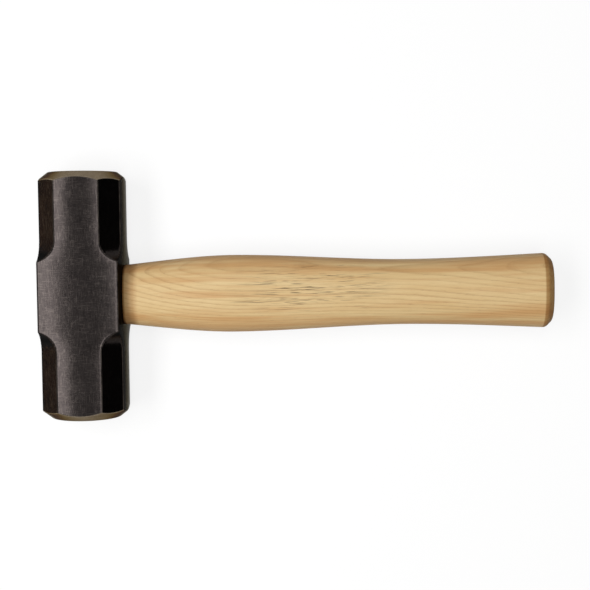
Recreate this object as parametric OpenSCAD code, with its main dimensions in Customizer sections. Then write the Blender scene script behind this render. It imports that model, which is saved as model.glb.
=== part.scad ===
// Short-handled sledgehammer, lying on one cheek of its head.
// +X runs along the handle to its butt, +Y along the head, and +Z is up.
// The origin is on the surface it lies on, straight under the middle of the eye.

/* [Head] */
// Width of the head across its flats
head_w = 41.3; // [36:0.1:56]
// Length of the head between its two striking faces
head_len = 124; // [108:0.5:180]
// Width of each long flat of the octagonal polls
poll_flat_w = 22.2; // [18:0.1:28]
// Length of the square cheeks, measured along their corners
cheek_len = 33.4; // [26:0.2:46]
// Radius of the scallop that runs each corner flat out at the cheeks
scallop_r = 11.8; // [9:0.1:20]
// Diameter of the flat of each striking face
face_d = 33.4; // [26:0.1:36]
// Angle of the turned bevel, down from the striking face
bevel_angle = 38; // [25:1:55]
// Radius that blends the striking face into its bevel
face_edge_r = 1.5; // [0.5:0.1:3]
// Radius along the four corners of the square cheeks
cheek_edge_r = 1.8; // [0.5:0.1:3]

/* [Eye] */
// Length of the eye along the head, at its waist
eye_len = 27.4; // [23:0.1:30]
// Width of the eye, at its waist
eye_w = 18.6; // [16:0.1:22]
// How much wider and longer the eye is at each mouth than at its waist
eye_flare = 1.8; // [0.6:0.1:3]
// Radius that rounds the edge of each mouth of the eye
eye_edge_r = 1; // [0.3:0.1:1.5]
// Gap all round between the wall of the eye and the tenon
eye_fit = 0.05; // [0.02:0.01:0.3]

/* [Handle] */
// Length of the handle from the side of the head to the butt
grip_len = 214.5; // [180:0.5:320]
// Width of the neck where it meets the head
neck_w = 29.8; // [28:0.1:36]
// Thickness of the neck where it meets the head
neck_t = 21.8; // [20:0.1:28]
// Width of the belly of the handle
belly_w = 38.7; // [32:0.1:46]
// Thickness of the belly of the handle
belly_t = 28; // [24:0.1:34]
// Distance from the head to the widest place of the belly
belly_at = 55; // [45:0.5:70]
// Width of the waist behind the belly
waist_w = 32.8; // [28:0.1:40]
// Thickness of the waist behind the belly
waist_t = 24.6; // [20:0.1:32]
// Distance from the head to the narrowest place of the waist
waist_at = 141; // [110:0.5:160]
// Width of the flared butt
butt_w = 37.8; // [32:0.1:48]
// Thickness of the flared butt
butt_t = 28.6; // [24:0.1:36]
// Width of the bevel round the butt
butt_bevel = 3.4; // [2.5:0.1:6]
// Radius that softens both edges of the butt bevel
butt_edge_r = 3; // [0.5:0.1:3]
// How far the tenon stands proud of the head
tenon_proud = 1; // [0:0.1:3]

/* [Wedges] */
// Width of the saw kerf in the tenon
kerf_w = 1.6; // [1:0.1:2.4]
// Depth of the saw kerf, from the end of the tenon
kerf_depth = 33; // [30:0.5:36]
// Length of the wooden wedge
wood_wedge_len = 29; // [24:0.5:29]
// Thickness of the wooden wedge at its thick end
wood_wedge_t = 5; // [3:0.1:6]
// Width of each steel wedge
steel_wedge_w = 14; // [10:0.1:15]
// Length of each steel wedge
steel_wedge_len = 19; // [14:0.5:22]
// Thickness of each steel wedge at its thick end
steel_wedge_t = 3; // [2.4:0.1:4]
// Thickness of each steel wedge at its tip
steel_tip_t = 0.8; // [0.5:0.1:1.2]
// Height of each barb on a steel wedge
barb_h = 0.35; // [0.1:0.05:0.5]
// Number of barbs along a steel wedge
barbs = 4; // [2:1:6]
// Distance between the two steel wedges, centre to centre
steel_wedge_gap = 13; // [9:0.5:16]
// How far the steel wedges are driven below the end of the tenon
steel_set = 0.4; // [0:0.1:1]

/* [Hidden] */
$fn = 96;

cut = 1;                  // how far a cutter runs past the face that it opens
ring_points = 48;         // points round each section of the handle and the eye
eye_sections = 8;         // stretches that the eye is drawn in, mouth to mouth
grip_step = 5;            // spacing of the sections along the grip
arc_step = 15;            // degrees between the sections round a lofted edge
face_arc_steps = 4;       // straight stretches in the turned edge of a striking face
mouth_turn = 75;          // degrees that each mouth of the eye curves outwards
butt_turn = 45;           // slope of the bevel of the butt, in degrees
eye_corner = 2.5;         // superellipse power of the eye: 2 is an ellipse, more is squarer
grip_corner = 2.4;        // the same for the grip
neck_slope = 0.2;         // gain in width per millimetre as the neck leaves the head
butt_slope = 0.09;        // gain in width per millimetre where the flare meets the butt

half_w = head_w / 2;
half_len = head_len / 2;

// The corner flats lie this far from the axis of the head, and its rounded corners this far.
corner_flat_at = (head_w + poll_flat_w) / (2 * sqrt(2));
square_corner_at = head_w / sqrt(2) - cheek_edge_r * (sqrt(2) - 1);
corner_depth = square_corner_at - corner_flat_at;
scallop_run = sqrt(pow(scallop_r, 2) - pow(scallop_r - corner_depth, 2));
scallop_at = cheek_len / 2 + scallop_run;

tenon_end = -(half_w + tenon_proud);
butt_end = half_w + grip_len;

// Widths and thicknesses along the grip: [distance from the head, width, thickness, slope]
grip_stations = [
    [0, neck_w, neck_t, neck_slope],
    [belly_at, belly_w, belly_t, 0],
    [waist_at, waist_w, waist_t, 0],
    [grip_len, butt_w, butt_t, butt_slope],
];

// Cubic from p0 to p1 over a length, with slopes s0 and s1 at its ends
function cubic(t, length, p0, s0, p1, s1) =
    p0 * (2 * pow(t, 3) - 3 * pow(t, 2) + 1)
    + s0 * length * (pow(t, 3) - 2 * pow(t, 2) + t)
    + p1 * (3 * pow(t, 2) - 2 * pow(t, 3))
    + s1 * length * (pow(t, 3) - pow(t, 2));

// Size of the grip at a distance from the head, where column 1 is width and 2 is thickness
function grip_size(distance, column, i = 0) =
    distance > grip_stations[i + 1][0] && i < len(grip_stations) - 2
    ? grip_size(distance, column, i + 1)
    : let (a = grip_stations[i], b = grip_stations[i + 1], length = b[0] - a[0])
      cubic((distance - a[0]) / length, length, a[column], a[3], b[column], b[3]);

// Size of the eye at a distance from its middle: it opens out towards both mouths
function eye_size(x, waist) = waist + eye_flare * pow(x / half_w, 2);

// Points of an oval section, width along Y and thickness along Z
function oval(width, thickness, corner) = [
    for (i = [0 : ring_points - 1])
        let (a = 360 * i / ring_points, c = cos(a), s = sin(a))
        [
            width / 2 * sign(c) * pow(abs(c), 2 / corner),
            thickness / 2 * sign(s) * pow(abs(s), 2 / corner),
        ]
];

// Section of the eye at x, made larger all round by a widening
function eye_ring(x, widening = 0) =
    [x, oval(eye_size(x, eye_len) + 2 * widening, eye_size(x, eye_w) + 2 * widening, eye_corner)];

// Section of the grip at x, made smaller all round by an inset
function grip_ring(x, inset = 0) =
    let (along = min(x - half_w, grip_len))
    [x, oval(grip_size(along, 1) - 2 * inset, grip_size(along, 2) - 2 * inset, grip_corner)];

// One mouth of the eye as [x, widening]: an arc, then its tangent on past the cheek
mouth_end = [half_w - eye_edge_r * (1 - sin(mouth_turn)), eye_edge_r * (1 - cos(mouth_turn))];
mouth_profile = concat(
    [for (a = [0 : arc_step : mouth_turn])
        [half_w - eye_edge_r * (1 - sin(a)), eye_edge_r * (1 - cos(a))]],
    [mouth_end + eye_edge_r * [cos(mouth_turn), sin(mouth_turn)]]
);

// Bevel of the butt as [x, inset]: an arc, the bevel and a second arc
butt_blend = butt_edge_r * tan(butt_turn / 2);
butt_inset = butt_bevel + butt_blend;
butt_profile = concat(
    [for (a = [0 : arc_step : butt_turn])
        [butt_end - butt_inset + butt_edge_r * sin(a), butt_edge_r * (1 - cos(a))]],
    [for (a = [butt_turn : arc_step : 90])
        [butt_end - butt_edge_r + butt_edge_r * sin(a), butt_inset - butt_edge_r * cos(a)]]
);

// Solid through a list of sections, each [x, points] with the same number of points
module loft(rings) {
    n = len(rings[0][1]);
    last = len(rings) - 1;
    points = [for (ring = rings) for (p = ring[1]) [ring[0], p[0], p[1]]];
    sides = [
        for (k = [0 : last - 1]) for (i = [0 : n - 1])
            let (j = (i + 1) % n, a = k * n, b = a + n)
            for (face = [[a + i, b + i, b + j], [a + i, b + j, a + j]]) face
    ];
    first_cap = [for (i = [0 : n - 1]) i];
    last_cap = [for (i = [n - 1 : -1 : 0]) last * n + i];
    polyhedron(points = points, faces = concat([first_cap], sides, [last_cap]));
}

// Everything is drawn about the axis of the head and then raised onto the surface.
module raised() {
    translate([0, 0, half_w]) children();
}

// One corner flat, from its scallop to past the striking face, with +Z towards the corner
module corner_cutter() {
    height = head_w / sqrt(2) - corner_flat_at + cut;
    width = 4 * height;
    translate([-width / 2, scallop_at, corner_flat_at])
        cube([width, half_len - scallop_at + cut, height]);
    translate([-width / 2, scallop_at, corner_flat_at + scallop_r])
        rotate([0, 90, 0]) cylinder(r = scallop_r, h = width);
}

// Section of the cheeks: a square with rounded corners
module cheek_section() {
    inner_w = head_w - 2 * cheek_edge_r;
    square([head_w, inner_w], center = true);
    square([inner_w, head_w], center = true);
    for (x = [-1, 1], y = [-1, 1])
        translate([x, y] * inner_w / 2) circle(r = cheek_edge_r);
}

// Square bar with its four corners taken off behind both striking faces
module octagonal_bar() {
    difference() {
        rotate([90, 0, 0]) linear_extrude(height = head_len, center = true) cheek_section();
        for (turn = [45 : 90 : 315]) rotate([0, turn, 0])
            for (end = [0, 1]) mirror([0, end, 0]) corner_cutter();
    }
}

// Turned shape that bevels both ends round, as [radius, place along the head]
module turned_bevels() {
    arc = [
        for (i = [0 : face_arc_steps]) let (a = bevel_angle * i / face_arc_steps)
            [face_d / 2 + face_edge_r * sin(a), half_len - face_edge_r * (1 - cos(a))]
    ];
    arc_end = arc[face_arc_steps];
    outer_r = square_corner_at + cut;
    outer = [outer_r, arc_end[1] - (outer_r - arc_end[0]) * tan(bevel_angle)];
    upper = concat([[0, half_len]], arc, [outer]);
    lower = [for (i = [len(upper) - 1 : -1 : 0]) [upper[i][0], -upper[i][1]]];
    rotate([-90, 0, 0]) rotate_extrude() polygon(concat(upper, lower));
}

// The eye runs right through the head along X, narrowest in the middle.
module eye() {
    straight = head_w - 2 * eye_edge_r;
    last = len(mouth_profile) - 1;
    loft(concat(
        [for (i = [last : -1 : 0]) eye_ring(-mouth_profile[i][0], mouth_profile[i][1])],
        [for (i = [1 : eye_sections - 1]) eye_ring((i / eye_sections - 0.5) * straight)],
        [for (p = mouth_profile) eye_ring(p[0], p[1])]
    ));
}

module head() {
    color("dimgray") raised() difference() {
        intersection() {
            octagonal_bar();
            turned_bevels();
        }
        eye();
    }
}

// The tenon fills the eye from its proud end to the shoulder at the head's side.
function tenon_rings() = concat(
    [eye_ring(tenon_end, -eye_fit)],
    [for (i = [0 : eye_sections]) eye_ring((i / eye_sections - 0.5) * head_w, -eye_fit)]
);

// Kerf and wedge share one plane, across the short axis of the eye.
module wedge_space(tip_x, tip_t) {
    back = tenon_end - cut;
    slope = (wood_wedge_t - kerf_w) / 2 / wood_wedge_len;
    rotate([90, 0, 0]) linear_extrude(height = head_w, center = true) polygon([
        [back, wood_wedge_t / 2 + slope * cut],
        [tip_x, tip_t / 2],
        [tip_x, -tip_t / 2],
        [back, -wood_wedge_t / 2 - slope * cut],
    ]);
}

// Half outline of a steel wedge from its tip: each barb rises and drops back
function barb_edge(side) = [
    for (i = [0 : barbs - 1])
        let (
            rise = (steel_wedge_t - steel_tip_t) / 2 / barbs,
            step = steel_wedge_len / barbs,
            x = tenon_end + steel_set + steel_wedge_len - i * step,
            half_t = steel_tip_t / 2 + i * rise
        )
        for (p = [[x, half_t], [x - step, half_t + rise + (i < barbs - 1 ? barb_h : 0)]])
            [p[0], side * p[1]]
];

// A steel wedge stands across the wooden one; side is 1 towards +Y and -1 towards -Y.
module steel_wedge_body(side) {
    near = barb_edge(-1);
    outline = concat(barb_edge(1), [for (i = [len(near) - 1 : -1 : 0]) near[i]]);
    translate([0, side * steel_wedge_gap / 2, 0])
        linear_extrude(height = steel_wedge_w, center = true) polygon(outline);
}

// Room for both steel wedges, open above them where they are driven below the surface
module steel_wedge_pockets() {
    for (side = [-1, 1]) {
        steel_wedge_body(side);
        translate([tenon_end - cut, side * steel_wedge_gap / 2 - steel_wedge_t / 2, -steel_wedge_w / 2])
            cube([cut + steel_set, steel_wedge_t, steel_wedge_w]);
    }
}

module handle() {
    butt_start = butt_profile[0][0];
    steps = ceil((butt_start - half_w) / grip_step);
    step = (butt_start - half_w) / steps;
    rings = concat(
        tenon_rings(),
        [for (i = [0 : steps - 1]) grip_ring(half_w + i * step)],
        [for (p = butt_profile) grip_ring(p[0], p[1])]
    );
    color("burlywood") raised() difference() {
        loft(rings);
        wedge_space(tenon_end + wood_wedge_len, kerf_w);
        translate([tenon_end - cut, -half_w, -kerf_w / 2])
            cube([kerf_depth + cut, head_w, kerf_w]);
        steel_wedge_pockets();
    }
}

module wooden_wedge() {
    color("wheat") raised() difference() {
        intersection() {
            loft(tenon_rings());
            wedge_space(tenon_end + wood_wedge_len, kerf_w);
        }
        steel_wedge_pockets();
    }
}

module steel_wedge(side) {
    color("silver") raised() steel_wedge_body(side);
}

head();
handle();
wooden_wedge();
steel_wedge(1);  // steel_wedge_upper
steel_wedge(-1);  // steel_wedge_lower
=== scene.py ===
import math

import bpy
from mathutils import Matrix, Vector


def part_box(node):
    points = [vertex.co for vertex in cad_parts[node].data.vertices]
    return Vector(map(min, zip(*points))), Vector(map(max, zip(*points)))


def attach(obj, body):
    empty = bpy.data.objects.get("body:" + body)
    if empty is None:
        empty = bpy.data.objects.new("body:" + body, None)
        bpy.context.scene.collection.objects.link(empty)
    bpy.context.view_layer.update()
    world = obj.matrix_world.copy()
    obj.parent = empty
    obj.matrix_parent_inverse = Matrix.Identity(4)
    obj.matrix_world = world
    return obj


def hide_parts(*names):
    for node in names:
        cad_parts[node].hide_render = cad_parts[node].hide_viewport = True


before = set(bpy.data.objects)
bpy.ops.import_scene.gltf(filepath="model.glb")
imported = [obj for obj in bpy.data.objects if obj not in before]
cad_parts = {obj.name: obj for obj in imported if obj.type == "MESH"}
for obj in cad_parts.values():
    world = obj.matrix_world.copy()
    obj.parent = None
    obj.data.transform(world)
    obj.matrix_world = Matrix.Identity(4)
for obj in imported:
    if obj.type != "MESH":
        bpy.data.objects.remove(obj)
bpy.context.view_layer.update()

MM = 0.001

# Sizes that the frame gives
head_low, head_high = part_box("head")
handle_low, handle_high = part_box("handle")
HALF_W = (head_high.x - head_low.x) / 2
HALF_LEN = (head_high.y - head_low.y) / 2
AXIS_HEIGHT = (head_high.z + head_low.z) / 2
TENON_END = handle_low.x
BUTT_END = handle_high.x
GRIP_LEN = BUTT_END - HALF_W

# Head: the crown of the long flats widens them a little past POLL_FLAT_W
POLL_FLAT_W = 21 * MM
CHEEK_LEN = 33.4 * MM
SCALLOP_R = 11.8 * MM
FACE_R = 16.7 * MM
BEVEL_ANGLE = math.radians(38)
FACE_EDGE_R = 1.5 * MM
FACE_CROWN = 0.3 * MM
CHEEK_CROWN = 0.63 * MM
POLL_CROWN = 1.3 * MM
CHEEK_EDGE = 1.6 * MM
POLL_EDGE = 0.45 * MM
BEVEL_EDGE = 0.4 * MM

# Eye and tenon
EYE_LEN = 27.4 * MM
EYE_W = 18.6 * MM
EYE_FLARE = 1.8 * MM
EYE_FIT = 0.05 * MM
EYE_MOUTH_R = 1 * MM
EYE_POWER = 2.5

# Grip: [distance from the head, width, thickness, slope]
GRIP_POWER = 2.4
NECK = (0, 29.8 * MM, 21.8 * MM, 0.2)
BELLY = (55 * MM, 38.7 * MM, 28 * MM, 0)
WAIST = (141 * MM, 32.8 * MM, 24.6 * MM, 0)
BUTT = (GRIP_LEN, 37.8 * MM, 28.6 * MM, 0.09)
BUTT_BEVEL = 3.4 * MM
BUTT_EDGE_R = 3 * MM

# Wedges
KERF_W = 1.6 * MM
KERF_DEPTH = 33 * MM
WEDGE_EDGE = 0.2 * MM


class Field:
    """A number that varies over a shape or a finish: arithmetic on it builds Math nodes."""

    def __init__(self, tree, socket):
        self.tree = tree
        self.socket = socket

    def math(self, operation, *others):
        node = self.tree.nodes.new("ShaderNodeMath")
        node.operation = operation
        for value, entry in zip((self, *others), node.inputs):
            feed(self.tree, entry, value)
        return Field(self.tree, node.outputs[0])

    def __add__(self, other):
        return self.math("ADD", other)

    def __sub__(self, other):
        return self.math("SUBTRACT", other)

    def __rsub__(self, other):
        return self * -1 + other

    def __mul__(self, other):
        return self.math("MULTIPLY", other)

    __radd__ = __add__
    __rmul__ = __mul__

    def __truediv__(self, other):
        return self.math("DIVIDE", other)

    def __pow__(self, other):
        return self.math("POWER", other)

    def __abs__(self):
        return self.math("ABSOLUTE")

    def sin(self):
        return self.math("SINE")

    def cos(self):
        return self.math("COSINE")

    def root(self):
        return self.math("SQRT")

    def sign(self):
        return self.math("SIGN")

    def least(self, other):
        return self.math("MINIMUM", other)

    def most(self, other):
        return self.math("MAXIMUM", other)

    def blended_least(self, other, reach):
        return self.math("SMOOTH_MIN", other, reach)

    def below(self, other):
        return self.math("LESS_THAN", other)

    def within(self, low, high):
        """0 at low and under, 1 at high and over, and a straight ramp between them"""
        node = self.tree.nodes.new("ShaderNodeMapRange")
        feed(self.tree, node.inputs["From Min"], low)
        feed(self.tree, node.inputs["From Max"], high)
        feed(self.tree, node.inputs["Value"], self)
        return Field(self.tree, node.outputs[0])

    def mix(self, low, high):
        """low where this is 0 and high where it is 1"""
        return self * (high - low) + low


def feed(tree, entry, value):
    """Sets a socket to a number or colour, or links it to a field or another socket."""
    if isinstance(value, Field):
        tree.links.new(value.socket, entry)
    elif isinstance(value, bpy.types.NodeSocket):
        tree.links.new(value, entry)
    else:
        entry.default_value = value


def add_node(tree, kind, settings=None, **entries):
    """A node with its settings and inputs, where an input's name has _ for a space"""
    node = tree.nodes.new(kind)
    for name, value in (settings or {}).items():
        setattr(node, name, value)
    for name, value in entries.items():
        feed(tree, node.inputs[name.replace("_", " ")], value)
    return node


# Forms

def steps(start, end, count):
    """count + 1 evenly spaced values from start to end"""
    return [start + (end - start) * i / count for i in range(count + 1)]


def skin_blank(name, turns, rows):
    """Closed skin laid out flat: each point is (turn, place along the piece, third measure)."""
    around = len(turns)
    points = [(turn, along, measure) for along, measure in rows for turn in turns]
    faces = [
        (k * around + i, k * around + j, (k + 1) * around + j, (k + 1) * around + i)
        for k in range(len(rows) - 1)
        for i in range(around)
        for j in [(i + 1) % around]
    ]
    last = (len(rows) - 1) * around
    faces.append(tuple(range(around))[::-1])
    faces.append(tuple(range(last, last + around)))
    mesh = bpy.data.meshes.new(name)
    mesh.from_pydata(points, [], faces)
    piece = bpy.data.objects.new(name, mesh)
    bpy.context.scene.collection.objects.link(piece)
    return piece


def roll_up(piece, sizes, material, shape):
    """Gives a flat skin its form by a Geometry Nodes tree whose inputs are the named sizes."""
    tree = bpy.data.node_groups.new(piece.name + "_form", "GeometryNodeTree")
    interface = tree.interface
    interface.new_socket("Skin", in_out="INPUT", socket_type="NodeSocketGeometry")
    interface.new_socket("Piece", in_out="OUTPUT", socket_type="NodeSocketGeometry")
    sockets = {
        name: interface.new_socket(name, in_out="INPUT", socket_type="NodeSocketFloat").identifier
        for name in sizes
    }
    start = tree.nodes.new("NodeGroupInput")
    end = tree.nodes.new("NodeGroupOutput")
    position = tree.nodes.new("GeometryNodeInputPosition").outputs[0]
    flat = add_node(tree, "ShaderNodeSeparateXYZ", Vector=position)
    turn, along, measure = (Field(tree, socket) for socket in flat.outputs)
    size = {name: Field(tree, start.outputs[name]) for name in sizes}
    (x, y, z), *edge = shape(turn, along, measure, size)
    place = add_node(tree, "ShaderNodeCombineXYZ", X=x, Y=y, Z=z)
    skin = start.outputs["Skin"]
    for share in edge:
        marked = add_node(tree, "GeometryNodeStoreNamedAttribute", Geometry=skin, Name="edge", Value=share)
        skin = marked.outputs[0]
    rolled = add_node(tree, "GeometryNodeSetPosition", Geometry=skin, Position=place.outputs[0])
    smooth = add_node(tree, "GeometryNodeSetShadeSmooth", Geometry=rolled.outputs[0])
    real = add_node(tree, "GeometryNodeRealizeInstances", Geometry=smooth.outputs[0])
    finish = add_node(tree, "GeometryNodeSetMaterial", Geometry=real.outputs[0], Material=material)
    tree.links.new(finish.outputs[0], end.inputs["Piece"])
    form = piece.modifiers.new("form", "NODES")
    form.node_group = tree
    for name, value in sizes.items():
        form[sockets[name]] = value
    return piece


def settle(piece):
    """Makes the result of a piece's modifiers its own plain mesh."""
    layer = bpy.context.evaluated_depsgraph_get()
    mesh = bpy.data.meshes.new_from_object(piece.evaluated_get(layer))
    piece.modifiers.clear()
    piece.data = mesh
    mesh.name = piece.name
    return piece


def weld(piece):
    """Joins points that lie at one place."""
    joined = piece.modifiers.new("weld", "WELD")
    joined.merge_threshold = 0.001 * MM


def cut_out(piece, *spaces):
    """Cuts other solids out of a piece and removes them."""
    for space in spaces:
        cut = piece.modifiers.new("cut", "BOOLEAN")
        cut.operation = "DIFFERENCE"
        cut.solver = "EXACT"
        cut.object = space
    weld(piece)
    settle(piece)
    for space in spaces:
        bpy.data.objects.remove(space)
    return piece


def head_turns():
    """Turns round the head, close together at the edges of the flats and at the cheek corners"""
    flat_edge = math.atan(POLL_FLAT_W / 2 / HALF_W)
    corner = math.pi / 4
    octant = [flat_edge * share for share in (0, 0.2, 0.4, 0.58, 0.74, 0.86, 0.94, 0.98, 1)]
    octant += [flat_edge + (corner - flat_edge) * share for share in (0.03, 0.08, 0.16, 0.27, 0.4, 0.53)]
    octant += [flat_edge + (corner - flat_edge) * share for share in (0.65, 0.75, 0.84, 0.91, 0.96, 1)]
    quarter = octant + [math.pi / 2 - turn for turn in octant[-2:0:-1]]
    return [turn + side * math.pi / 2 for side in range(4) for turn in quarter]


def scallop_end():
    """Place along the head where the scallops meet the long corner flats"""
    depth = HALF_W * math.sqrt(2) - corner_flat_at()
    return CHEEK_LEN / 2 + math.sqrt(SCALLOP_R**2 - (SCALLOP_R - depth) ** 2)


def corner_flat_at():
    """Distance of the corner flats of the polls from the axis of the head"""
    return (HALF_W + POLL_FLAT_W / 2) / math.sqrt(2)


def face_rim(turn):
    """Place and radius on the rounded rim of a striking face, where 0 is the edge of the face"""
    rim = HALF_LEN - FACE_CROWN
    return rim - FACE_EDGE_R * (1 - math.cos(turn)), FACE_R + FACE_EDGE_R * math.sin(turn)


def head_rows():
    """Turned outline of the head as (place, radius), from the lower striking face to the upper one"""
    shares = (0.03, 0.2, 0.4, 0.6, 0.8, 0.93)
    outline = [(HALF_LEN - FACE_CROWN * share**2, FACE_R * share) for share in shares]
    outline += [face_rim(turn) for turn in steps(0, BEVEL_ANGLE, 6)]
    arc_end, arc_radius = outline[-1]
    bevel_height = 7 * MM
    bevel_end = arc_end - bevel_height * math.tan(BEVEL_ANGLE)
    scallop_start = scallop_end() + 0.5 * MM
    cheek_start = CHEEK_LEN / 2 - 1 * MM
    poll = steps(arc_end, bevel_end, 26)[1:] + steps(bevel_end, scallop_start, 10)[1:]
    scallop = steps(scallop_start, cheek_start, 58)[1:]
    cheek = steps(cheek_start, 0, 8)[1:]
    slope = math.tan(BEVEL_ANGLE)
    outline += [(place, arc_radius + (arc_end - place) / slope) for place in poll + scallop + cheek]
    return [(-place, radius) for place, radius in outline[:-1]] + outline[::-1]


def head_shape(turn, along, turned_r, size):
    """A square bar with crowned cheeks, its corners taken off towards both ends, inside the turned outline.

    The second result is 1 along every edge and falls to 0 beside it."""
    across, up = turn.cos(), turn.sin()
    half_w = size["Half width"]

    crown = abs(along).within(size["Cheek half length"], size["Scallop end"])
    crown = crown.mix(size["Cheek crown"], size["Poll crown"])

    def crowned(facing, sideways):
        off_middle = (sideways / facing).least(1)
        return (half_w - off_middle * off_middle * crown) / facing

    near_zero = 0.001
    facing_x, facing_z = abs(across).most(near_zero), abs(up).most(near_zero)
    side, top = crowned(facing_x, facing_z), crowned(facing_z, facing_x)
    square = side.blended_least(top, size["Cheek edge"])
    scallop_r = size["Scallop radius"]
    run = (size["Scallop end"] - abs(along)).most(0).least(scallop_r)
    corner_at = size["Corner flat"] + scallop_r - (scallop_r**2 - run**2).root()
    corner = corner_at * math.sqrt(2) / (abs(across) + abs(up))
    bar = square.blended_least(corner, size["Poll edge"])
    radius = bar.blended_least(turned_r, size["Bevel edge"])
    taken_off = [
        (side.least(top) - square) / size["Cheek edge"] * square.below(corner),
        (square.least(corner) - bar) / size["Poll edge"],
        (bar.least(turned_r) - radius) / size["Bevel edge"],
    ]
    # A smooth minimum takes off at most a sixth of its reach.
    to_full = 6
    edge = taken_off[0].most(taken_off[1]).most(taken_off[2]) * to_full
    return (radius * across, along, radius * up + size["Axis height"]), edge


def eye_rows():
    """The eye from end to end as (place, widening): rounded mouths, then straight out past the cheeks"""
    last_turn = math.radians(75)
    inner = HALF_W - EYE_MOUTH_R
    mouth = [
        (inner + EYE_MOUTH_R * math.sin(turn), EYE_MOUTH_R * (1 - math.cos(turn)))
        for turn in steps(0, last_turn, 6)
    ]
    place, widening = mouth[-1]
    outside = 0.4 * MM
    mouth.append((place + outside, widening + outside * math.tan(last_turn)))
    middle = [(place, 0) for place in steps(-inner, inner, 12)[1:-1]]
    return [(-place, widening) for place, widening in mouth[::-1]] + middle + mouth


def oval(turn, power):
    """Sideways and upward share of a superellipse at a turn"""
    across, up = turn.cos(), turn.sin()
    return [part.sign() * abs(part) ** (2 * power**-1) for part in (across, up)]


def eye_shape(turn, along, widening, size):
    """An oval hole that opens out towards both mouths"""
    flare = size["Flare"] * (along / size["Half width"]) ** 2
    sideways, upward = oval(turn, size["Oval power"])
    y = ((size["Length"] + flare) / 2 + widening) * sideways
    z = ((size["Width"] + flare) / 2 + widening) * upward + size["Axis height"]
    return ((along, y, z),)


def cubic(t, length, p0, s0, p1, s1):
    """Cubic from p0 to p1 over a length, with slopes s0 and s1 at its ends"""
    t2, t3 = t * t, t * t * t
    return (
        p0 * (2 * t3 - 3 * t2 + 1)
        + s0 * length * (t3 - 2 * t2 + t)
        + p1 * (3 * t2 - 2 * t3)
        + s1 * length * (t3 - t2)
    )


def grip_size(distance, size, measure):
    """Width or thickness of the grip at a distance from the head, through its four stations"""
    stations = ("Neck", "Belly", "Waist", "Butt")
    neck, belly, waist, butt = (size[f"{station} {measure}"] for station in stations)
    belly_at, waist_at, length = size["Belly place"], size["Waist place"], size["Grip length"]
    first = cubic(distance.within(0, belly_at), belly_at, neck, size["Neck slope"], belly, 0)
    second = cubic(distance.within(belly_at, waist_at), waist_at - belly_at, belly, 0, waist, 0)
    third = cubic(distance.within(waist_at, length), length - waist_at, waist, 0, butt, size["Butt slope"])
    return first + (second - belly) + (third - waist)


def handle_rows():
    """The handle as (place, inset): the tenon, the grip and the rounded bevel of the butt"""
    shoulder = 0.01 * MM
    blend = BUTT_EDGE_R * math.tan(math.pi / 8)
    inset = BUTT_BEVEL + blend
    rows = [(place, 0) for place in steps(TENON_END, HALF_W - shoulder, 18)]
    rows += [(place, 0) for place in steps(HALF_W, BUTT_END - inset, 140)[:-1]]
    rows += [
        (BUTT_END - inset + BUTT_EDGE_R * math.sin(turn), BUTT_EDGE_R * (1 - math.cos(turn)))
        for turn in steps(0, math.pi / 4, 6)
    ]
    rows += [
        (BUTT_END - BUTT_EDGE_R + BUTT_EDGE_R * math.sin(turn), inset - BUTT_EDGE_R * math.cos(turn))
        for turn in steps(math.pi / 4, math.pi / 2, 6)
    ]
    return rows


def handle_shape(turn, along, inset, size):
    """Oval sections: the tenon follows the flared eye, and the grip follows its four stations"""
    half_w = size["Half width"]
    in_eye = along.below(half_w)
    flare = size["Eye flare"] * (along / half_w) ** 2
    power = in_eye.mix(size["Grip power"], size["Eye power"])
    halves = [
        in_eye.mix(grip_size(along - half_w, size, measure), size[f"Tenon {measure}"] + flare) / 2 - inset
        for measure in ("width", "thickness")
    ]
    sideways, upward = oval(turn, power)
    return ((along, halves[0] * sideways, halves[1] * upward + size["Axis height"]),)


def even_turns(count):
    """Turns evenly round a section"""
    return steps(0, 2 * math.pi, count)[:-1]


def prism(name, outline, depth):
    """Solid with an outline of (x, z) points, centred on the plane y = 0"""
    count = len(outline)
    points = [(x, side * depth / 2, z) for side in (-1, 1) for x, z in outline]
    sides = [(i, (i + 1) % count, (i + 1) % count + count, i + count) for i in range(count)]
    ends = [tuple(range(count))[::-1], tuple(range(count, 2 * count))]
    mesh = bpy.data.meshes.new(name)
    mesh.from_pydata(points, [], sides + ends)
    space = bpy.data.objects.new(name, mesh)
    bpy.context.scene.collection.objects.link(space)
    return space


def merged_copy(node, name):
    """A CAD node's mesh as a new piece, with its triangles joined"""
    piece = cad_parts[node].copy()
    piece.data = piece.data.copy()
    piece.name = name
    for key in list(piece.keys()):
        del piece[key]
    piece.parent = None
    bpy.context.scene.collection.objects.link(piece)
    weld(piece)
    return settle(piece)


# Finishes

def new_finish(name, **constants):
    """A material with its shader, and the object's own coordinates for its patterns"""
    material = bpy.data.materials.new(name)
    material.use_nodes = True
    tree = material.node_tree
    shader = tree.nodes["Principled BSDF"]
    for entry, value in constants.items():
        shader.inputs[entry.replace("_", " ")].default_value = value
    place = tree.nodes.new("ShaderNodeTexCoord").outputs["Object"]
    return material, tree, shader, place


def new_group(name, inputs, outputs):
    """A shader node group with named inputs, {name: default}, and float outputs"""
    group = bpy.data.node_groups.new(name, "ShaderNodeTree")
    for label, default in inputs.items():
        kind = "NodeSocketVector" if default is None else "NodeSocketFloat"
        socket = group.interface.new_socket(label, in_out="INPUT", socket_type=kind)
        if default is not None:
            socket.default_value = default
    for label in outputs:
        group.interface.new_socket(label, in_out="OUTPUT", socket_type="NodeSocketFloat")
    start = group.nodes.new("NodeGroupInput")
    end = group.nodes.new("NodeGroupOutput")
    fields = {label: Field(group, start.outputs[label]) for label in inputs}
    return group, fields, end


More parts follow.
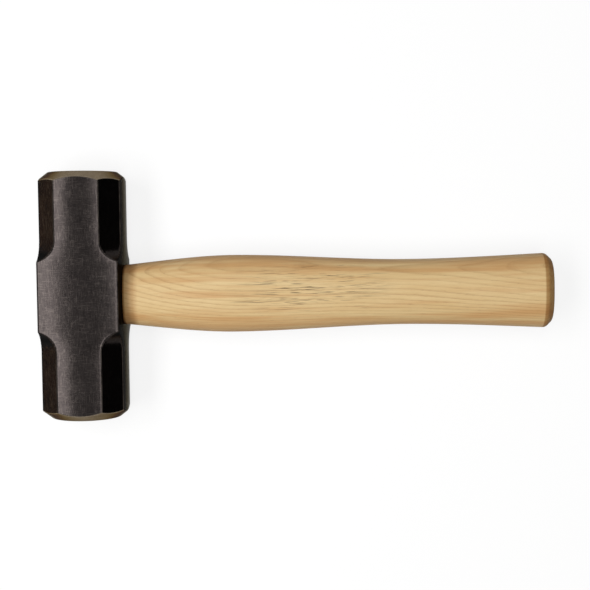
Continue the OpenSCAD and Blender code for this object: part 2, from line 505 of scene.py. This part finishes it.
def use_group(tree, group, **entries):
    """Places a group in a tree and gives its outputs as fields by name"""
    node = add_node(tree, "ShaderNodeGroup", {"node_tree": group}, **entries)
    return {socket.name: Field(tree, socket) for socket in node.outputs}


def noise(tree, place, size, detail=2, roughness=0.5):
    """Soft noise from 0 to 1 whose patches have this size along X, Y and Z"""
    scaled = add_node(tree, "ShaderNodeVectorMath", {"operation": "DIVIDE"})
    feed(tree, scaled.inputs[0], place)
    feed(tree, scaled.inputs[1], size)
    made = add_node(
        tree, "ShaderNodeTexNoise", Vector=scaled.outputs[0], Scale=1, Detail=detail, Roughness=roughness
    )
    return Field(tree, made.outputs[0])


def blend_colour(tree, share, low, high, how="MIX"):
    """low where share is 0 and high where it is 1"""
    node = add_node(tree, "ShaderNodeMix", {"data_type": "RGBA", "blend_type": how}, Factor=share)
    feed(tree, node.inputs[6], low)
    feed(tree, node.inputs[7], high)
    return node.outputs[2]


def colour(red, green, blue):
    """A colour written as 0 to 255 screen values"""
    def linear(value):
        share = value / 255
        return share / 12.92 if share <= 0.04045 else ((share + 0.055) / 1.055) ** 2.4
    return (linear(red), linear(green), linear(blue), 1)


def growth_rings_group():
    """Growth layers of a tree whose pith runs beside the piece, almost along X"""
    group, field, end = new_group(
        "Growth rings",
        {"Place": None, "Ring width": 1.5 * MM, "Pith across": 0, "Pith up": 0, "Slant": 0, "Waviness": 0},
        ["Early wood", "Tint"],
    )
    ripple_share = 0.12
    fade_end = 0.35
    rise_start = 0.9
    wave = noise(group, field["Place"].socket, (90 * MM, 16 * MM, 16 * MM), detail=2) - 0.5
    ripple = noise(group, field["Place"].socket, (14 * MM, 3 * MM, 3 * MM), detail=1) - 0.5
    split = add_node(group, "ShaderNodeSeparateXYZ", Vector=field["Place"].socket)
    x, y, z = (Field(group, socket) for socket in split.outputs)
    across, up = y - field["Pith across"], z - field["Pith up"]
    distance = (across * across + up * up).root() + x * field["Slant"]
    shifted = distance + (wave + ripple * ripple_share) * field["Waviness"]
    ring = shifted / field["Ring width"]
    share = ring.math("FRACT")
    own = add_node(group, "ShaderNodeTexWhiteNoise", {"noise_dimensions": "1D"}, W=ring.math("FLOOR"))
    tint = Field(group, own.outputs[0])
    fading = 1 - share.within(0, fade_end)
    rising = share.within(rise_start, 1)
    feed(group, end.inputs["Early wood"], fading.most(rising) * tint.mix(0.25, 1))
    feed(group, end.inputs["Tint"], tint)
    return group


def pores_group():
    """Short open pores that run along X"""
    group, field, end = new_group(
        "Pores", {"Place": None, "Length": 5 * MM, "Thickness": 0.2 * MM, "Level": 0.6}, ["Pores"]
    )
    length, thickness = field["Length"], field["Thickness"]
    size = add_node(group, "ShaderNodeCombineXYZ", X=length, Y=thickness, Z=thickness)
    grain = noise(group, field["Place"].socket, size.outputs[0], detail=1)
    feed(group, end.inputs["Pores"], grain.within(field["Level"], field["Level"] + 0.12))
    return group


def mottle_group():
    """Soft patches between two values"""
    group, field, end = new_group(
        "Mottle", {"Place": None, "Patch": 10 * MM, "Low": 0, "High": 1}, ["Value"]
    )
    size = add_node(group, "ShaderNodeCombineXYZ", X=field["Patch"], Y=field["Patch"], Z=field["Patch"])
    patches = noise(group, field["Place"].socket, size.outputs[0], detail=4, roughness=0.6)
    feed(group, end.inputs["Value"], patches.within(0.3, 0.7).mix(field["Low"], field["High"]))
    return group


def scuffs_group():
    """Short light rubs in both directions"""
    group, field, end = new_group(
        "Scuffs", {"Place": None, "Length": 3 * MM, "Thickness": 0.15 * MM, "Level": 0.65}, ["Scuffs"]
    )
    long, fine = field["Length"], field["Thickness"]
    rubs = []
    for sizes in ({"X": long, "Y": fine, "Z": fine}, {"X": fine, "Y": long, "Z": fine}):
        size = add_node(group, "ShaderNodeCombineXYZ", **sizes)
        rubs.append(noise(group, field["Place"].socket, size.outputs[0], detail=2))
    feed(group, end.inputs["Scuffs"], rubs[0].most(rubs[1]).within(field["Level"], field["Level"] + 0.1))
    return group


def forged_head_finish(mottle, scuffs):
    """Blackened forging, lighter along its edges from rubbed paint and a painted highlight, with ground
    steel on both turned ends
    """
    material, tree, shader, place = new_finish(
        "blackened_forged_steel", Metallic=0.94, Specular_Tint=(0.17, 0.15, 0.09, 1)
    )
    split = add_node(tree, "ShaderNodeSeparateXYZ", Vector=place)
    x, y, z = (Field(tree, socket) for socket in split.outputs)
    up = z - AXIS_HEIGHT
    radius = (x * x + up * up).root()
    arc_end, arc_radius = face_rim(BEVEL_ANGLE)
    past_bevel = radius - (arc_end - abs(y)) / math.tan(BEVEL_ANGLE) - arc_radius
    raggedness = 0.3 * MM
    ragged = (noise(tree, place, (1.5 * MM,) * 3, detail=3) - 0.5) * raggedness
    on_bevel = (past_bevel + ragged).within(-0.4 * MM, -0.2 * MM)
    ground = on_bevel.most(abs(y).within(HALF_LEN - 1.3 * MM, HALF_LEN - 1.1 * MM))
    edge = Field(tree, add_node(tree, "ShaderNodeAttribute", {"attribute_name": "edge"}).outputs["Fac"])
    patches = noise(tree, place, (3 * MM, 5 * MM, 3 * MM), detail=4, roughness=0.65).within(0.42, 0.62)
    # Lighter edges: partly rubbed paint, partly a painted highlight that stands in for the glint along each
    # edge
    edge_wear_and_glint = 0.4
    lighter_marks = edge.within(0.1, 0.7) * patches.mix(0.1, 1) * edge_wear_and_glint
    streaks = noise(tree, place, (0.55 * MM, 6 * MM, 0.55 * MM), detail=3, roughness=0.7)
    skin_tone = use_group(tree, mottle, Place=place, Patch=7 * MM, Low=0, High=0.5)["Value"]
    skin_tone = skin_tone + streaks.within(0.3, 0.7) * 0.5
    skin = blend_colour(tree, skin_tone, colour(28, 25, 25), colour(44, 40, 39))
    scuffed = use_group(tree, scuffs, Place=place, Length=4 * MM, Thickness=0.4 * MM, Level=0.57)["Scuffs"]
    skin_wear, steel_wear = 0.16, 0.25
    skin = blend_colour(tree, scuffed * skin_wear, skin, colour(92, 85, 80))
    skin = blend_colour(tree, lighter_marks, skin, colour(104, 96, 88))
    turned = add_node(tree, "ShaderNodeCombineXYZ", X=radius, Y=abs(y), Z=0.0)
    marks = noise(tree, turned.outputs[0], (0.3 * MM,) * 3, detail=2)
    steel_tone = use_group(tree, mottle, Place=place, Patch=9 * MM, Low=0.2, High=0.6)["Value"]
    steel_tone = steel_tone + marks.within(0.25, 0.75) * 0.4
    steel = blend_colour(tree, steel_tone, colour(90, 79, 66), colour(126, 114, 98))
    steel = blend_colour(tree, scuffed * steel_wear, steel, colour(160, 148, 130))
    feed(tree, shader.inputs["Base Color"], blend_colour(tree, ground, skin, steel))
    satin = use_group(tree, mottle, Place=place, Patch=12 * MM, Low=0.13, High=0.16)["Value"]
    satin = satin + (streaks - 0.5) * 0.06 + scuffed * 0.02
    steel_extra = 0.1
    feed(tree, shader.inputs["Roughness"], ground.mix(satin, satin + steel_extra))
    grain_height, forging_height, streak_height, mark_height = 0.006 * MM, 0.03 * MM, 0.004 * MM, 0.008 * MM
    grain = noise(tree, place, (0.6 * MM,) * 3, detail=3) * grain_height
    forging = noise(tree, place, (12 * MM,) * 3, detail=1) * forging_height
    height = ground.mix(grain + forging + streaks * streak_height, marks * mark_height)
    bump = add_node(tree, "ShaderNodeBump", Strength=1, Distance=1, Height=height)
    feed(tree, shader.inputs["Normal"], bump.outputs[0])
    return material


def wood_finish(name, groups, rings, tones, marks):
    """Ring-porous hardwood: growth layers, fibres, open pores and slow changes of tone, with painted shade
    towards its sides and next to the head
    """
    material, tree, shader, place = new_finish(name, Specular_IOR_Level=0.22)
    drift = noise(tree, place, (70 * MM, 9 * MM, 9 * MM), detail=3).within(0.3, 0.7)
    split = add_node(tree, "ShaderNodeSeparateXYZ", Vector=place)
    along, across = (Field(tree, split.outputs[axis]) for axis in "XY")
    # Warmer tone: slow random patches, plus a painted shade towards both sides, where the rounded sides
    # turn away from the light
    painted_side_shade = 0.19
    warm_tone_and_side_shade = noise(tree, place, (120 * MM, 4 * MM, 4 * MM), detail=3, roughness=0.6)
    warm_tone_and_side_shade = (warm_tone_and_side_shade + abs(across).within(6 * MM, 13 * MM) * painted_side_shade).within(0.52, 0.74)
    fibres = noise(tree, place, (18 * MM, 0.45 * MM, 0.45 * MM), detail=3, roughness=0.6).within(0.25, 0.75)
    threads = noise(tree, place, (8 * MM, 0.5 * MM, 0.5 * MM), detail=2, roughness=0.6).within(0.5, 0.75)
    growth = use_group(tree, groups["growth"], Place=place, **rings)
    early, tint = growth["Early wood"], growth["Tint"]
    tone = blend_colour(tree, drift * 0.5 + tint * 0.2 + fibres * 0.3, tones["pale"], tones["tan"])
    tone = blend_colour(tree, warm_tone_and_side_shade * marks["warm_tone_and_side_shade"], tone, tones["warm_and_side_shade"])
    thread_share = 0.35
    lines = (early + threads * thread_share).least(1) * marks["line"]
    tone = blend_colour(tree, lines, tone, tones["line"])
    fine = use_group(tree, groups["pores"], Place=place, Length=3.5 * MM, Thickness=0.13 * MM, Level=0.6)
    tone = blend_colour(tree, fine["Pores"] * (early * 0.5 + 0.08), tone, tones["pore"])
    coarse = use_group(tree, groups["pores"], Place=place, Length=12 * MM, Thickness=0.27 * MM, Level=0.53)
    fleck_side = 3 * MM
    crowd_along = 1 - abs(along - marks["flecks at"]).within(20 * MM, 44 * MM)
    crowd = crowd_along * (1 - abs(across - fleck_side).within(7 * MM, 13 * MM))
    rows = noise(tree, place, (40 * MM, 1.3 * MM, 1.3 * MM), detail=1).within(0.45, 0.56)
    tone = blend_colour(tree, coarse["Pores"] * rows * crowd * marks["flecks"], tone, tones["fleck"])
    # Darker band where the handle meets the head: partly a stain, partly painted shade of the head on the
    # wood
    stain_and_shade_share = 0.6
    stain_and_head_shade = (1 - along.within(HALF_W + 5 * MM, HALF_W + 7.5 * MM)) * stain_and_shade_share
    tone = blend_colour(tree, stain_and_head_shade, tone, blend_colour(tree, 1.0, tone, tones["stain_and_head_shade"], "MULTIPLY"))
    normal = add_node(tree, "ShaderNodeSeparateXYZ", Vector=place.node.outputs["Normal"])
    facing_end = abs(Field(tree, normal.outputs[0])).within(0.35, 0.7)
    bevel_start, ramp = BUTT_END - 5 * MM, 0.3 * MM
    end_grain = facing_end.most(along.within(bevel_start - ramp, bevel_start + ramp))
    tone = blend_colour(tree, end_grain, tone, blend_colour(tree, 1.0, tone, tones["end"], "MULTIPLY"))
    feed(tree, shader.inputs["Base Color"], tone)
    sanded, sawn = drift.mix(0.5, 0.58), drift.mix(0.62, 0.7)
    feed(tree, shader.inputs["Roughness"], end_grain.mix(sanded, sawn))
    pore_depth, ring_depth, fibre_height = 0.02 * MM, 0.015 * MM, 0.006 * MM
    height = fine["Pores"] * -pore_depth - early * ring_depth + fibres * fibre_height
    bump = add_node(tree, "ShaderNodeBump", Strength=1, Distance=1, Height=height)
    feed(tree, shader.inputs["Normal"], bump.outputs[0])
    return material


def wedge_steel_finish(mottle, scuffs):
    """Rolled mild steel with bright rubs from the driving"""
    material, tree, shader, place = new_finish("wedge_steel", Metallic=1)
    tone = use_group(tree, mottle, Place=place, Patch=3 * MM, Low=0, High=1)["Value"]
    steel = blend_colour(tree, tone, colour(88, 82, 75), colour(124, 117, 108))
    lighter_marks = use_group(tree, scuffs, Place=place, Length=2 * MM, Level=0.6)["Scuffs"]
    feed(tree, shader.inputs["Base Color"], blend_colour(tree, lighter_marks, steel, colour(172, 166, 156)))
    feed(tree, shader.inputs["Roughness"], tone.mix(0.35, 0.5))
    rolling_height = 0.02 * MM
    rolled = noise(tree, place, (6 * MM, 0.2 * MM, 0.2 * MM), detail=2) * rolling_height
    bump = add_node(tree, "ShaderNodeBump", Strength=1, Distance=1, Height=rolled)
    feed(tree, shader.inputs["Normal"], bump.outputs[0])
    return material


# Pieces

def make_head(finish):
    """The head: a scalloped bar in its turned outline, with the eye cut through it"""
    scallop = scallop_end()
    head = roll_up(
        skin_blank("forged_head", head_turns(), head_rows()),
        {
            "Half width": HALF_W,
            "Cheek half length": CHEEK_LEN / 2,
            "Cheek crown": CHEEK_CROWN,
            "Poll crown": POLL_CROWN,
            "Cheek edge": CHEEK_EDGE,
            "Corner flat": corner_flat_at(),
            "Scallop radius": SCALLOP_R,
            "Scallop end": scallop,
            "Poll edge": POLL_EDGE,
            "Bevel edge": BEVEL_EDGE,
            "Axis height": AXIS_HEIGHT,
        },
        finish,
        head_shape,
    )
    eye = roll_up(
        skin_blank("eye_space", even_turns(96), eye_rows()),
        {
            "Length": EYE_LEN,
            "Width": EYE_W,
            "Flare": EYE_FLARE,
            "Half width": HALF_W,
            "Oval power": EYE_POWER,
            "Axis height": AXIS_HEIGHT,
        },
        finish,
        eye_shape,
    )
    return cut_out(head, settle(eye))


def make_handle(finish):
    """The handle: tenon, belly, waist and flared butt, with its kerf and the room for the wedges"""
    sizes = {
        "Half width": HALF_W,
        "Grip length": GRIP_LEN,
        "Belly place": BELLY[0],
        "Waist place": WAIST[0],
        "Neck slope": NECK[3],
        "Butt slope": BUTT[3],
        "Tenon width": EYE_LEN - 2 * EYE_FIT,
        "Tenon thickness": EYE_W - 2 * EYE_FIT,
        "Eye flare": EYE_FLARE,
        "Grip power": GRIP_POWER,
        "Eye power": EYE_POWER,
        "Axis height": AXIS_HEIGHT,
    }
    for name, station in (("Neck", NECK), ("Belly", BELLY), ("Waist", WAIST), ("Butt", BUTT)):
        sizes[name + " width"] = station[1]
        sizes[name + " thickness"] = station[2]
    blank = skin_blank("shaped_handle", even_turns(128), handle_rows())
    handle = roll_up(blank, sizes, finish, handle_shape)
    spaces = [wood_wedge_space()] + [steel_wedge_space(node) for node in STEEL_WEDGES]
    return cut_out(settle(handle), *spaces)


def wood_wedge_space():
    """Room for the wooden wedge, and the rest of the saw kerf past its tip"""
    wedge_low, wedge_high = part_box("wooden_wedge")
    back = TENON_END - 1 * MM
    half_thick = (wedge_high.z - wedge_low.z) / 2
    half_kerf = KERF_W / 2
    kerf_end = TENON_END + KERF_DEPTH
    upper = [(back, half_thick), (TENON_END, half_thick), (wedge_high.x, half_kerf), (kerf_end, half_kerf)]
    outline = upper + [(x, -z) for x, z in upper[::-1]]
    return prism("wedge_space", [(x, z + AXIS_HEIGHT) for x, z in outline], 2 * HALF_W)


def steel_wedge_space(node):
    """Room for a steel wedge, open above it at the end of the tenon"""
    space = merged_copy(node, node + "_space")
    thick_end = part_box(node)[0].x
    for point in space.data.vertices:
        if point.co.x < thick_end + 0.1 * MM:
            point.co.x = TENON_END - 1 * MM
    return space


def make_steel_wedge(node, finish):
    """A barbed wedge with its corners broken"""
    wedge = merged_copy(node, "driven_" + node)
    wedge.data.materials.clear()
    wedge.data.materials.append(finish)
    corners = wedge.modifiers.new("corners", "BEVEL")
    corners.width = WEDGE_EDGE
    corners.segments = 2
    corners.limit_method = "ANGLE"
    return settle(wedge)


STEEL_WEDGES = ("steel_wedge_upper", "steel_wedge_lower")

mottle = mottle_group()
scuffs = scuffs_group()
wood_groups = {"growth": growth_rings_group(), "pores": pores_group()}

head_finish = forged_head_finish(mottle, scuffs)
handle_finish = wood_finish(
    "hickory",
    wood_groups,
    {
        "Ring_width": 1.1 * MM,
        "Pith_across": -38 * MM,
        "Pith_up": AXIS_HEIGHT - 60 * MM,
        "Slant": 0.022,
        "Waviness": 2.4 * MM,
    },
    {
        "pale": colour(214, 191, 144),
        "tan": colour(196, 163, 112),
        "warm_and_side_shade": colour(182, 132, 80),
        "line": colour(158, 120, 74),
        "pore": colour(110, 78, 48),
        "fleck": colour(72, 58, 36),
        "stain_and_head_shade": (0.6, 0.46, 0.34, 1),
        "end": (0.56, 0.46, 0.34, 1),
    },
    {"line": 0.42, "warm_tone_and_side_shade": 0.6, "flecks": 0.9, "flecks at": 114 * MM},
)
wood_wedge_finish = wood_finish(
    "wedge_wood",
    wood_groups,
    {
        "Ring_width": 2.2 * MM,
        "Pith_across": 50 * MM,
        "Pith_up": AXIS_HEIGHT + 20 * MM,
        "Slant": 0.02,
        "Waviness": 1 * MM,
    },
    {
        "pale": colour(206, 172, 122),
        "tan": colour(178, 138, 90),
        "warm_and_side_shade": colour(170, 122, 72),
        "line": colour(150, 108, 64),
        "pore": colour(104, 72, 44),
        "fleck": colour(96, 68, 42),
        "stain_and_head_shade": (0.9, 0.85, 0.8, 1),
        "end": (0.8, 0.72, 0.62, 1),
    },
    {"line": 0.5, "warm_tone_and_side_shade": 0.3, "flecks": 0.3, "flecks at": 0.0},
)
wedge_steel = wedge_steel_finish(mottle, scuffs)

pieces = [
    (make_head(head_finish), "head", "blackened_steel"),
    (make_handle(handle_finish), "handle", "hickory"),
]
pieces += [(make_steel_wedge(node, wedge_steel), node, "wedge_steel") for node in STEEL_WEDGES]
for piece, node, slot in pieces:
    for face in piece.data.polygons:
        face.use_smooth = True
    piece.data.set_sharp_from_angle(angle=math.radians(35))
    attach(piece, "root")
    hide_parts(node)
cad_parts["wooden_wedge"].material_slots[0].material = wood_wedge_finish


# Stage

def make_floor():
    """Pale floor that shows white to the eye and in reflections, and keeps a soft shadow"""
    half = 4.0
    below = -0.1 * MM
    mesh = bpy.data.meshes.new("floor")
    corners = [(-half, -half, below), (half, -half, below), (half, half, below), (-half, half, below)]
    mesh.from_pydata(corners, [], [(0, 1, 2, 3)])
    floor = bpy.data.objects.new("floor", mesh)
    bpy.context.scene.collection.objects.link(floor)
    material = bpy.data.materials.new("floor_white")
    material.use_nodes = True
    tree = material.node_tree
    tree.nodes.clear()
    camera, glossy, through = seen_by(tree)
    lighting_paper, seen_paper = 0.4, 0.95
    paper = add_node(tree, "ShaderNodeBsdfDiffuse")
    seen = camera.most(glossy).most(through)
    feed(tree, paper.inputs["Color"], seen.mix(lighting_paper, seen_paper))
    glow = add_node(tree, "ShaderNodeEmission", Color=(1, 1, 1, 1), Strength=1)
    place = tree.nodes.new("ShaderNodeTexCoord").outputs["Object"]
    distance = add_node(tree, "ShaderNodeVectorMath", {"operation": "LENGTH"}, Vector=place)
    far = Field(tree, distance.outputs[1]).within(0.45, 1.2)
    near_glow, near_glow_reflected = 0.8, 0.25
    glowing = camera.most(through) * far.mix(near_glow, 1) + glossy * far.mix(near_glow_reflected, 1)
    both = tree.nodes.new("ShaderNodeMixShader")
    feed(tree, both.inputs[0], glowing)
    feed(tree, both.inputs[1], paper.outputs[0])
    feed(tree, both.inputs[2], glow.outputs[0])
    output = tree.nodes.new("ShaderNodeOutputMaterial")
    tree.links.new(both.outputs[0], output.inputs["Surface"])
    mesh.materials.append(material)


def seen_by(tree):
    """1 for rays that reach a surface from the eye, from a reflection, and through glass"""
    path = tree.nodes.new("ShaderNodeLightPath")
    kinds = ("Is Camera Ray", "Is Glossy Ray", "Is Transmission Ray")
    return [Field(tree, path.outputs[kind]) for kind in kinds]


def make_world(fill):
    """White all round to the eye, and a plain grey fill light"""
    world = bpy.data.worlds.new("studio")
    bpy.context.scene.world = world
    world.use_nodes = True
    tree = world.node_tree
    background = tree.nodes["Background"]
    camera, glossy, through = seen_by(tree)
    feed(tree, background.inputs["Strength"], camera.most(glossy).most(through).mix(fill, 1.0))
    background.inputs["Color"].default_value = (1, 1, 1, 1)


def softbox(name, lean, twist, distance, width, length, power):
    """A rectangular soft lamp over the head, leaned towards the handle and twisted, both in degrees"""
    lamp = bpy.data.lights.new(name, "AREA")
    lamp.shape = "RECTANGLE"
    lamp.size = width
    lamp.size_y = length
    lamp.energy = power
    holder = bpy.data.objects.new(name, lamp)
    turn = math.radians(lean)
    holder.location = (distance * math.sin(turn), 0, distance * math.cos(turn))
    holder.rotation_euler = (0, turn, math.radians(twist))
    holder.visible_camera = False
    bpy.context.scene.collection.objects.link(holder)


def card(name, corners, brightness):
    """A card that glows evenly and that only reflections see: light painted into reflections, not a lamp"""
    mesh = bpy.data.meshes.new(name)
    mesh.from_pydata(corners, [], [(0, 1, 2, 3)])
    sheet = bpy.data.objects.new(name, mesh)
    bpy.context.scene.collection.objects.link(sheet)
    material = bpy.data.materials.new(name)
    material.use_nodes = True
    tree = material.node_tree
    tree.nodes.clear()
    glow = add_node(tree, "ShaderNodeEmission", Color=(1, 1, 1, 1), Strength=brightness)
    output = tree.nodes.new("ShaderNodeOutputMaterial")
    tree.links.new(glow.outputs[0], output.inputs["Surface"])
    mesh.materials.append(material)
    sheet.visible_camera = False
    sheet.visible_diffuse = False
    sheet.visible_shadow = False
    sheet.visible_transmission = False


def make_cards():
    """A black card keeps the corner flats on the right black in their reflections, and a glowing white one
    lifts those on the left.
    """
    right, half, top = 0.55, 0.6, 0.3
    standing = [(right, -half, 0), (right, half, 0), (right, half, top), (right, -half, top)]
    card("black_card", standing, brightness=0.003)
    near, far, half = -0.09, -0.4, 0.16
    lying = [(near, -half, 0), (near, half, 0), (far, half, 0), (far, -half, 0)]
    card("white_card", lying, brightness=2.2)


def make_camera():
    """Straight above the hammer, with the slight lean of a hand-levelled stand"""
    sensor = 36.0
    camera = bpy.data.cameras.new("camera")
    camera.sensor_width = sensor
    camera.lens = 72.74
    camera.clip_start = 0.05
    camera.clip_end = 50
    stand = bpy.data.objects.new("camera", camera)
    stand.location = (109.4 * MM, 33.3 * MM, 621.8 * MM)
    stand.rotation_euler = [math.radians(turn) for turn in (-3.29, 0.27, -0.61)]
    bpy.context.scene.collection.objects.link(stand)
    bpy.context.scene.camera = stand


make_floor()
make_world(fill=0.1)
softbox("left_softbox", lean=-24.4, twist=2.5, distance=1.05, width=0.34, length=0.9, power=8.3)
softbox("overhead_softbox", lean=7.8, twist=12, distance=1.05, width=0.35, length=0.9, power=5.7)
make_cards()
make_camera()
bpy.context.scene.view_settings.view_transform = "Standard"
